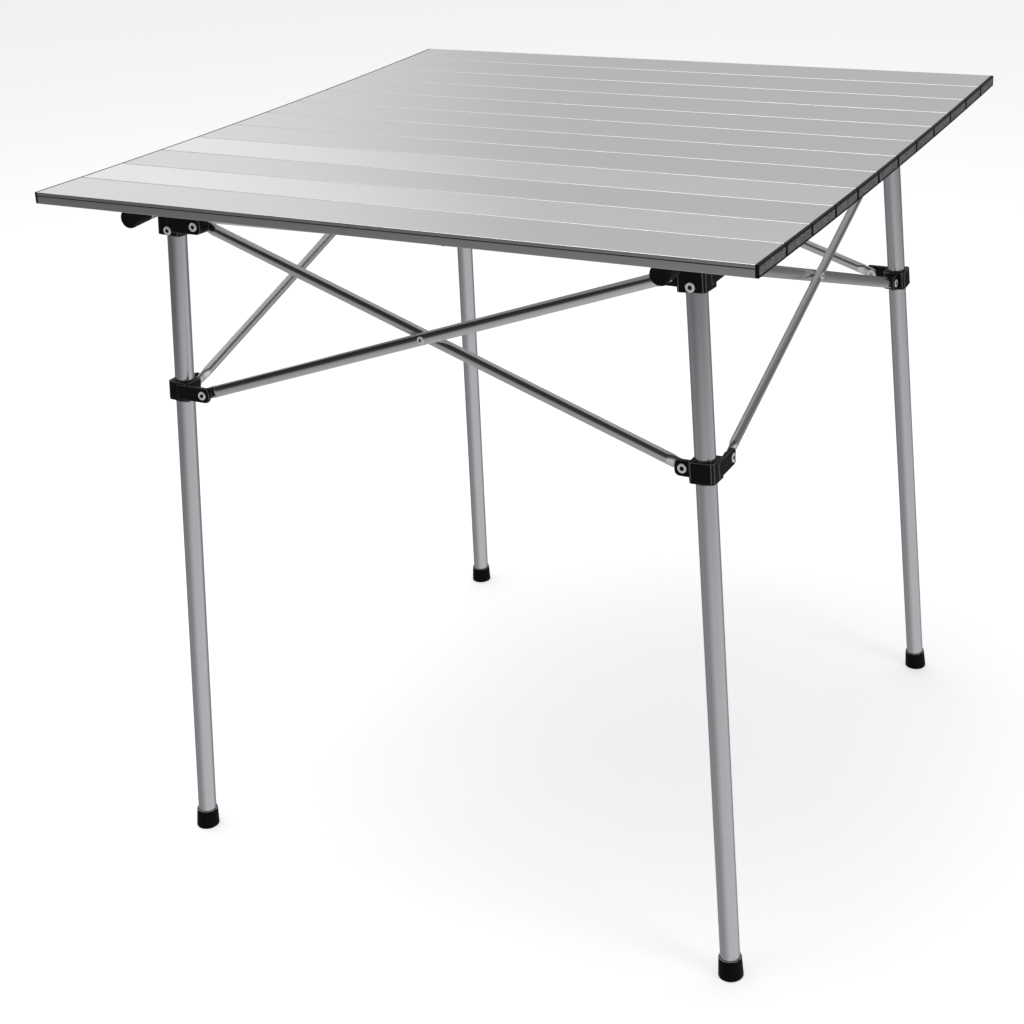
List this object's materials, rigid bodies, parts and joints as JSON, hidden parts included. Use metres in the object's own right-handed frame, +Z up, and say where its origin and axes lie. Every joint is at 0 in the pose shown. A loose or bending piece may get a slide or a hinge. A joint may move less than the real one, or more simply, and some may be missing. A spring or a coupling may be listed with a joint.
{
  "type": "folding table",
  "caption": "Square roll-top camping table: a slatted aluminium top on two rails over four splayed legs with a folding scissor brace on each side.",
  "frame": {"origin": "on the floor, under the middle of the tabletop", "axes": "+X to the right along the slats, -Y to the front edge, +Z up"},
  "size_m": [0.7, 0.6996, 0.7],
  "materials": {
    "slat_aluminium": "satin anodised extrusion, light silver",
    "leg_aluminium": "satin anodised tube, warm grey",
    "polished_aluminium": "bright rolled flat-oval tube",
    "black_plastic": "black moulded nylon with a fine grain",
    "foot_plastic": "black moulded cap, slightly soft"
  },
  "bodies": {
    "leg_fl": {"leg_tube_fl": "leg_aluminium", "foot_fl": "foot_plastic", "corner_bracket_fl": "black_plastic"},
    "leg_fr": {"leg_tube_fr": "leg_aluminium", "foot_fr": "foot_plastic", "corner_bracket_fr": "black_plastic"},
    "leg_br": {"leg_tube_br": "leg_aluminium", "foot_br": "foot_plastic", "corner_bracket_br": "black_plastic"},
    "leg_bl": {"leg_tube_bl": "leg_aluminium", "foot_bl": "foot_plastic", "corner_bracket_bl": "black_plastic"},
    "slider_fl_body": {"slider_fl": "black_plastic"},
    "slider_fr_body": {"slider_fr": "black_plastic"},
    "slider_br_body": {"slider_br": "black_plastic"},
    "slider_bl_body": {"slider_bl": "black_plastic"},
    "front_inner_brace": {"brace_front_inner": "polished_aluminium"},
    "front_outer_brace": {"brace_front_outer": "polished_aluminium"},
    "right_inner_brace": {"brace_right_inner": "polished_aluminium"},
    "right_outer_brace": {"brace_right_outer": "polished_aluminium"},
    "back_inner_brace": {"brace_back_inner": "polished_aluminium"},
    "back_outer_brace": {"brace_back_outer": "polished_aluminium"},
    "left_inner_brace": {"brace_left_inner": "polished_aluminium"},
    "left_outer_brace": {"brace_left_outer": "polished_aluminium"},
    "top_base": {"rail_left": "slat_aluminium", "rail_right": "slat_aluminium", "slat_12": "slat_aluminium"},
    "top_slat_11": {"slat_11": "slat_aluminium", "slat_cap_left_11": "black_plastic", "slat_cap_right_11": "black_plastic"},
    "top_slat_10": {"slat_10": "slat_aluminium", "slat_cap_left_10": "black_plastic", "slat_cap_right_10": "black_plastic"},
    "top_slat_09": {"slat_09": "slat_aluminium", "slat_cap_left_09": "black_plastic", "slat_cap_right_09": "black_plastic"},
    "top_slat_08": {"slat_08": "slat_aluminium", "slat_cap_left_08": "black_plastic", "slat_cap_right_08": "black_plastic"},
    "top_slat_07": {"slat_07": "slat_aluminium", "slat_cap_left_07": "black_plastic", "slat_cap_right_07": "black_plastic"},
    "top_slat_06": {"slat_06": "slat_aluminium", "slat_cap_left_06": "black_plastic", "slat_cap_right_06": "black_plastic"},
    "top_slat_05": {"slat_05": "slat_aluminium", "slat_cap_left_05": "black_plastic", "slat_cap_right_05": "black_plastic"},
    "top_slat_04": {"slat_04": "slat_aluminium", "slat_cap_left_04": "black_plastic", "slat_cap_right_04": "black_plastic"},
    "top_slat_03": {"slat_03": "slat_aluminium", "slat_cap_left_03": "black_plastic", "slat_cap_right_03": "black_plastic"},
    "top_slat_02": {"slat_02": "slat_aluminium", "slat_cap_left_02": "black_plastic", "slat_cap_right_02": "black_plastic"},
    "top_slat_01": {"slat_01": "slat_aluminium", "slat_cap_left_01": "black_plastic", "slat_cap_right_01": "black_plastic"}
  },
  "joints": [
    {"name": "frame_fold", "type": "hinge", "parent": "leg_fl", "child": "front_inner_brace", "pos_m": [-0.23324, -0.26324, 0.656], "axis": [0, 0.9987, -0.0514], "range_deg": [0, 65.9]},
    {"name": "front_scissor", "type": "hinge", "parent": "front_inner_brace", "child": "front_outer_brace", "pos_m": [0.00525, -0.26816, 0.56053], "axis": [0, 0.9987, -0.0514], "range_deg": [-131.8, 0]},
    {"name": "leg_fr_pivot", "type": "hinge", "parent": "front_outer_brace", "child": "leg_fr", "pos_m": [0.24374, -0.26324, 0.656], "axis": [0, 0.9987, -0.0514], "range_deg": [0, 65.9]},
    {"name": "slider_fl_pivot", "type": "hinge", "parent": "front_outer_brace", "child": "slider_fl_body", "pos_m": [-0.24179, -0.27179, 0.49], "axis": [0, 0.9987, -0.0514], "range_deg": [0, 65.9]},
    {"name": "slider_fr_pivot", "type": "hinge", "parent": "front_inner_brace", "child": "slider_fr_body", "pos_m": [0.25229, -0.27179, 0.49], "axis": [0, 0.9987, -0.0514], "range_deg": [-65.9, 0]},
    {"name": "left_outer_pivot", "type": "hinge", "parent": "leg_fl", "child": "left_outer_brace", "pos_m": [-0.26324, -0.24374, 0.656], "axis": [0.9987, 0, -0.0514], "range_deg": [-65.9, 0]},
    {"name": "left_scissor", "type": "hinge", "parent": "left_outer_brace", "child": "left_inner_brace", "pos_m": [-0.26816, -0.00525, 0.56053], "axis": [0.9987, 0, -0.0514], "range_deg": [0, 131.8]},
    {"name": "leg_bl_pivot", "type": "hinge", "parent": "left_inner_brace", "child": "leg_bl", "pos_m": [-0.26324, 0.23324, 0.656], "axis": [0.9987, 0, -0.0514], "range_deg": [-65.9, 0]},
    {"name": "slider_bl_pivot", "type": "hinge", "parent": "left_outer_brace", "child": "slider_bl_body", "pos_m": [-0.27179, 0.24179, 0.49], "axis": [0.9987, 0, -0.0514], "range_deg": [0, 65.9]},
    {"name": "right_inner_pivot", "type": "hinge", "parent": "leg_fr", "child": "right_inner_brace", "pos_m": [0.26324, -0.23324, 0.656], "axis": [-0.9987, 0, -0.0514], "range_deg": [0, 65.9]},
    {"name": "right_scissor", "type": "hinge", "parent": "right_inner_brace", "child": "right_outer_brace", "pos_m": [0.26816, 0.00525, 0.56053], "axis": [-0.9987, 0, -0.0514], "range_deg": [-131.8, 0]},
    {"name": "leg_br_pivot", "type": "hinge", "parent": "right_outer_brace", "child": "leg_br", "pos_m": [0.26324, 0.24374, 0.656], "axis": [-0.9987, 0, -0.0514], "range_deg": [0, 65.9]},
    {"name": "slider_br_pivot", "type": "hinge", "parent": "right_inner_brace", "child": "slider_br_body", "pos_m": [0.27179, 0.25229, 0.49], "axis": [-0.9987, 0, -0.0514], "range_deg": [-65.9, 0]},
    {"name": "back_inner_pivot", "type": "hinge", "parent": "leg_br", "child": "back_inner_brace", "pos_m": [0.23324, 0.26324, 0.656], "axis": [0, -0.9987, -0.0514], "range_deg": [0, 65.9]},
    {"name": "back_outer_pivot", "type": "hinge", "parent": "leg_bl", "child": "back_outer_brace", "pos_m": [-0.24374, 0.26324, 0.656], "axis": [0, -0.9987, -0.0514], "range_deg": [-65.9, 0]},
    {"name": "top_lift", "type": "slide", "parent": "leg_fl", "child": "top_base", "axis": [0, 0, 1], "range_m": [0, 0.3]},
    {"name": "slat_11_hinge", "type": "hinge", "parent": "top_base", "child": "top_slat_11", "pos_m": [0, 0.296, 0.69886], "axis": [-1, 0, 0], "range_deg": [0, 2.3]},
    {"name": "top_roll", "type": "hinge", "parent": "top_slat_11", "child": "top_slat_10", "pos_m": [0, 0.2375, 0.69784], "axis": [-1, 0, 0], "range_deg": [0, 74.3]},
    {"name": "slat_09_hinge", "type": "hinge", "parent": "top_slat_10", "child": "top_slat_09", "pos_m": [0, 0.179, 0.69705], "axis": [-1, 0, 0], "range_deg": [0, 33.3]},
    {"name": "slat_08_hinge", "type": "hinge", "parent": "top_slat_09", "child": "top_slat_08", "pos_m": [0, 0.1205, 0.69647], "axis": [-1, 0, 0], "range_deg": [0, 69.3]},
    {"name": "slat_07_hinge", "type": "hinge", "parent": "top_slat_08", "child": "top_slat_07", "pos_m": [0, 0.062, 0.69613], "axis": [-1, 0, 0], "range_deg": [0, 44.3]},
    {"name": "slat_06_hinge", "type": "hinge", "parent": "top_slat_07", "child": "top_slat_06", "pos_m": [0, 0.0035, 0.696], "axis": [-1, 0, 0], "range_deg": [0, 53.3]},
    {"name": "slat_05_hinge", "type": "hinge", "parent": "top_slat_06", "child": "top_slat_05", "pos_m": [0, -0.055, 0.6961], "axis": [-1, 0, 0], "range_deg": [0, 79.3]},
    {"name": "slat_04_hinge", "type": "hinge", "parent": "top_slat_05", "child": "top_slat_04", "pos_m": [0, -0.1135, 0.69642], "axis": [-1, 0, 0], "range_deg": [0, 46.3]},
    {"name": "slat_03_hinge", "type": "hinge", "parent": "top_slat_04", "child": "top_slat_03", "pos_m": [0, -0.172, 0.69697], "axis": [-1, 0, 0], "range_deg": [0, 79.3]},
    {"name": "slat_02_hinge", "type": "hinge", "parent": "top_slat_03", "child": "top_slat_02", "pos_m": [0, -0.2305, 0.69773], "axis": [-1, 0, 0], "range_deg": [0, 79.3]},
    {"name": "slat_01_hinge", "type": "hinge", "parent": "top_slat_02", "child": "top_slat_01", "pos_m": [0, -0.289, 0.69873], "axis": [-1, 0, 0], "range_deg": [0, 79.3]}
  ],
  "couplings": [
    {"joint": "front_scissor", "follows": "frame_fold", "ratio": -2},
    {"joint": "leg_fr_pivot", "follows": "frame_fold", "ratio": 1},
    {"joint": "slider_fl_pivot", "follows": "frame_fold", "ratio": 1},
    {"joint": "slider_fr_pivot", "follows": "frame_fold", "ratio": -1},
    {"joint": "left_outer_pivot", "follows": "frame_fold", "ratio": -1},
    {"joint": "left_scissor", "follows": "frame_fold", "ratio": 2},
    {"joint": "leg_bl_pivot", "follows": "frame_fold", "ratio": -1},
    {"joint": "slider_bl_pivot", "follows": "frame_fold", "ratio": 1},
    {"joint": "right_inner_pivot", "follows": "frame_fold", "ratio": 1},
    {"joint": "right_scissor", "follows": "frame_fold", "ratio": -2},
    {"joint": "leg_br_pivot", "follows": "frame_fold", "ratio": 1},
    {"joint": "slider_br_pivot", "follows": "frame_fold", "ratio": -1},
    {"joint": "back_inner_pivot", "follows": "frame_fold", "ratio": 1},
    {"joint": "back_outer_pivot", "follows": "frame_fold", "ratio": -1},
    {"joint": "slat_11_hinge", "follows": "top_roll", "ratio": 0.03096},
    {"joint": "slat_09_hinge", "follows": "top_roll", "ratio": 0.44818},
    {"joint": "slat_08_hinge", "follows": "top_roll", "ratio": 0.93271},
    {"joint": "slat_07_hinge", "follows": "top_roll", "ratio": 0.59623},
    {"joint": "slat_06_hinge", "follows": "top_roll", "ratio": 0.71736},
    {"joint": "slat_05_hinge", "follows": "top_roll", "ratio": 1.0673},
    {"joint": "slat_04_hinge", "follows": "top_roll", "ratio": 0.62315},
    {"joint": "slat_03_hinge", "follows": "top_roll", "ratio": 1.0673},
    {"joint": "slat_02_hinge", "follows": "top_roll", "ratio": 1.0673},
    {"joint": "slat_01_hinge", "follows": "top_roll", "ratio": 1.0673}
  ]
}
